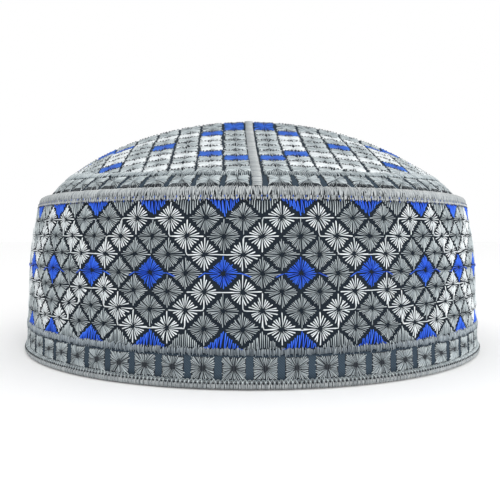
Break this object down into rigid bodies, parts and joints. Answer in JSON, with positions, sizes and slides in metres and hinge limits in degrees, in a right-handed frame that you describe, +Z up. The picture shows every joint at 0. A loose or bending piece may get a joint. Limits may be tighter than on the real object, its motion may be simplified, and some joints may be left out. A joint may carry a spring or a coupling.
{
  "type": "kufi",
  "caption": "Brimless oval cap with a stiff upright band, a low domed crown and corded edges, standing on its hem.",
  "frame": {"origin": "middle of the hem cord's flat underside, on the surface that the cap stands on", "axes": "+Z up out of the crown, -Y towards the cap's front, X from side to side"},
  "size_m": [0.1862, 0.1954, 0.0934],
  "materials": {
    "ground_cloth": "matte dark slate twill under embroidery in grey, white and blue thread",
    "cord_thread": "grey thread wrapped closely round a cord",
    "satin_thread": "grey satin stitch with a silky sheen",
    "white_thread": "silvery white embroidery thread of the white stars",
    "blue_thread": "royal blue embroidery thread of the blue stars"
  },
  "bodies": {
    "root": {"side_band": "ground_cloth", "crown": "ground_cloth", "rim_cord": "cord_thread", "hem_cord": "cord_thread", "band_line": "satin_thread", "crown_line_left": "satin_thread", "crown_line_right": "satin_thread", "crown_stripe": "satin_thread"}
  },
  "joints": []
}
